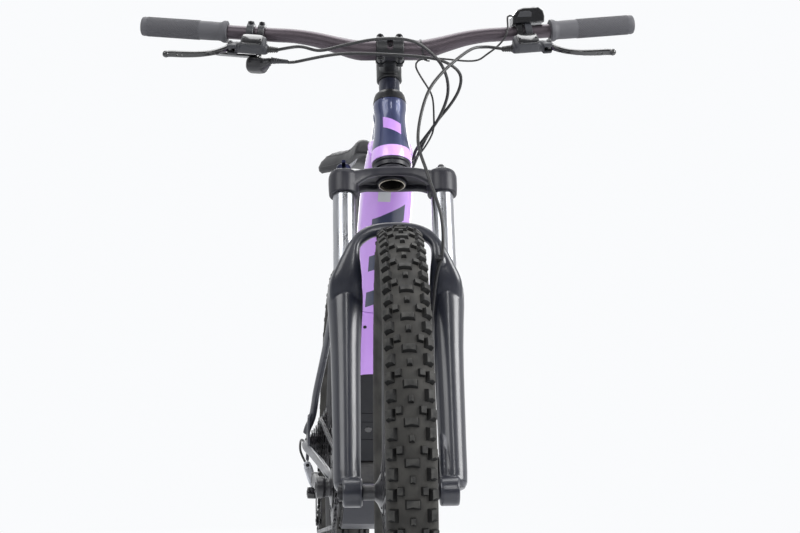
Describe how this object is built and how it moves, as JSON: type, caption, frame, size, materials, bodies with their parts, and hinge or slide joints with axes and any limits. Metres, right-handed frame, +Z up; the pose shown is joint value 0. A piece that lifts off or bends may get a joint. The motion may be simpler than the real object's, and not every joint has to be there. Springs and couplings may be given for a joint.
{
  "type": "electric mountain bike",
  "caption": "Hardtail electric mountain bike with suspension fork, disc brakes, mid drive unit, battery in the down tube and a rear derailleur, stored upright with the bars turned slightly.",
  "frame": {"origin": "on the ground under the middle of the bike", "axes": "+Y along the bike from the front wheel to the rear wheel, +X to the rider's left, +Z up"},
  "size_m": [0.7882, 1.9314, 1.1213],
  "materials": {
    "lilac_paint": "satin",
    "slate_navy_paint": "satin",
    "satin_black": "satin",
    "drive_housing": "matte",
    "dark_grey_plastic": "matte",
    "black_plastic": "satin",
    "rubber": "matte",
    "tyre_rubber": "matte",
    "chrome": "polished",
    "steel": "satin",
    "silver_grey": "satin",
    "blue_anodised": "satin",
    "saddle_cover": "matte"
  },
  "bodies": {
    "frame": {"head_tube": "slate_navy_paint", "headset_cover": "satin_black", "down_tube": "lilac_paint", "top_tube": "slate_navy_paint", "seat_tube": "slate_navy_paint", "seat_clamp": "satin_black", "drive_unit": "drive_housing", "skid_plate": "dark_grey_plastic", "stays_left": "slate_navy_paint", "stays_right": "slate_navy_paint", "rear_axle": "satin_black", "rear_caliper": "satin_black", "rear_hose_end": "rubber", "shift_housing_end": "rubber", "chain": "steel"},
    "steering": {"fork_crown": "satin_black", "stanchion_left": "chrome", "stanchion_right": "chrome", "headset_spacer": "slate_navy_paint", "stem": "satin_black", "stem_faceplate": "satin_black", "handlebar": "satin_black", "grip_left": "rubber", "grip_right": "rubber", "brake_master_left": "satin_black", "brake_master_right": "satin_black", "shifter_body": "black_plastic", "ride_remote": "black_plastic", "rear_brake_hose": "rubber", "shift_housing": "rubber", "remote_wire": "rubber", "front_brake_hose": "rubber"},
    "lowers": {"fork_lowers": "satin_black", "front_axle": "satin_black", "front_caliper": "satin_black"},
    "front_wheel": {"front_tyre": "tyre_rubber", "front_rim": "satin_black", "front_hub_spokes": "satin_black", "front_rotor": "steel"},
    "rear_wheel": {"rear_tyre": "tyre_rubber", "rear_rim": "satin_black", "rear_hub_spokes": "satin_black", "rear_rotor": "steel"},
    "cranks": {"chainring": "satin_black", "crank_arm_left": "satin_black", "crank_arm_right": "satin_black"},
    "freehub": {"cassette": "steel"},
    "shift_link": {"derailleur_link": "silver_grey"},
    "knuckle": {"derailleur_knuckle": "black_plastic"},
    "cage": {"derailleur_cage": "black_plastic"},
    "guide_pulley": {"pulley_upper": "black_plastic"},
    "tension_pulley": {"pulley_lower": "black_plastic"},
    "seat": {"seatpost": "satin_black", "saddle": "saddle_cover"},
    "battery": {"battery_pack": "dark_grey_plastic"},
    "lockout": {"lockout_knob": "blue_anodised"},
    "lever_left": {"brake_lever_left": "satin_black"},
    "lever_right": {"brake_lever_right": "satin_black"},
    "paddle": {"shift_paddle": "black_plastic"},
    "button": {"remote_button": "dark_grey_plastic"}
  },
  "joints": [
    {"name": "steering", "type": "hinge", "parent": "frame", "child": "steering", "pos_m": [0, -0.54985, 0.35577], "axis": [0, 0.3746, 0.9272], "range_deg": [-55.7, 64.3], "deforming": ["rear_brake_hose", "shift_housing", "remote_wire"]},
    {"name": "fork_travel", "type": "slide", "parent": "steering", "child": "lowers", "axis": [0, 0.3746, 0.9272], "range_m": [0, 0.1], "stiffness_N_per_m": 7000, "springref_m": -0.015, "deforming": ["front_brake_hose"]},
    {"name": "front_wheel_spin", "type": "hinge", "parent": "lowers", "child": "front_wheel", "pos_m": [-0.00345, -0.59238, 0.37295], "axis": [0.9972, -0.0695, 0.0281], "continuous": true},
    {"name": "rear_wheel_spin", "type": "hinge", "parent": "frame", "child": "rear_wheel", "pos_m": [0, 0.5925, 0.373], "axis": [1, 0, 0], "continuous": true},
    {"name": "crank_spin", "type": "hinge", "parent": "frame", "child": "cranks", "pos_m": [0, 0.1392, 0.315], "axis": [1, 0, 0], "continuous": true},
    {"name": "cassette_spin", "type": "hinge", "parent": "frame", "child": "freehub", "pos_m": [0, 0.5925, 0.373], "axis": [1, 0, 0], "continuous": true},
    {"name": "shift_swing", "type": "hinge", "parent": "frame", "child": "shift_link", "pos_m": [-0.0745, 0.6005, 0.3227], "axis": [0, -1, 0], "range_deg": [-24, 20], "deforming": ["chain"]},
    {"name": "shift_level", "type": "hinge", "parent": "shift_link", "child": "knuckle", "pos_m": [-0.0615, 0.6005, 0.2837], "axis": [0, -1, 0], "range_deg": [-20, 24]},
    {"name": "cage_swing", "type": "hinge", "parent": "knuckle", "child": "cage", "pos_m": [-0.049, 0.6045, 0.263], "axis": [1, 0, 0], "range_deg": [-35, 25], "stiffness_Nm_per_rad": 0.4},
    {"name": "guide_pulley_spin", "type": "hinge", "parent": "cage", "child": "guide_pulley", "pos_m": [-0.049, 0.6045, 0.263], "axis": [1, 0, 0], "continuous": true},
    {"name": "tension_pulley_spin", "type": "hinge", "parent": "cage", "child": "tension_pulley", "pos_m": [-0.049, 0.5785, 0.207], "axis": [1, 0, 0], "continuous": true},
    {"name": "seatpost_slide", "type": "slide", "parent": "frame", "child": "seat", "axis": [0, 0.2672, 0.9636], "range_m": [-0.16, 0.04]},
    {"name": "battery_swing", "type": "hinge", "parent": "frame", "child": "battery", "pos_m": [0, 0.02629, 0.37103], "axis": [1, 0, 0], "range_deg": [0, 12]},
    {"name": "lockout_turn", "type": "hinge", "parent": "steering", "child": "lockout", "pos_m": [-0.07749, -0.38526, 0.84396], "axis": [0, 0.3746, 0.9272], "range_deg": [-90, 0]},
    {"name": "brake_lever_left", "type": "hinge", "parent": "steering", "child": "lever_left", "pos_m": [0.24367, -0.36699, 1.05382], "axis": [0.0551, 0.6754, -0.7354], "range_deg": [-22, 0], "stiffness_Nm_per_rad": 0.6, "springref_deg": 5.73},
    {"name": "brake_lever_right", "type": "hinge", "parent": "steering", "child": "lever_right", "pos_m": [-0.25468, -0.33225, 1.03979], "axis": [-0.0804, -0.6736, 0.7347], "range_deg": [-22, 0], "stiffness_Nm_per_rad": 0.6, "springref_deg": 5.73},
    {"name": "shift_paddle", "type": "hinge", "parent": "steering", "child": "paddle", "pos_m": [-0.21679, -0.31174, 1.02793], "axis": [0.068, -0.0057, 0.9977], "range_deg": [0, 16], "stiffness_Nm_per_rad": 0.15, "springref_deg": -8.59},
    {"name": "remote_button_press", "type": "slide", "parent": "steering", "child": "button", "axis": [0.1239, -0.0077, -0.9923], "range_m": [0, 0.0015], "stiffness_N_per_m": 150, "springref_m": -0.002}
  ],
  "couplings": [
    {"joint": "cassette_spin", "follows": "crank_spin", "ratio": 1.5},
    {"joint": "guide_pulley_spin", "follows": "crank_spin", "ratio": -3},
    {"joint": "tension_pulley_spin", "follows": "crank_spin", "ratio": 3},
    {"joint": "shift_level", "follows": "shift_swing", "ratio": -1}
  ]
}
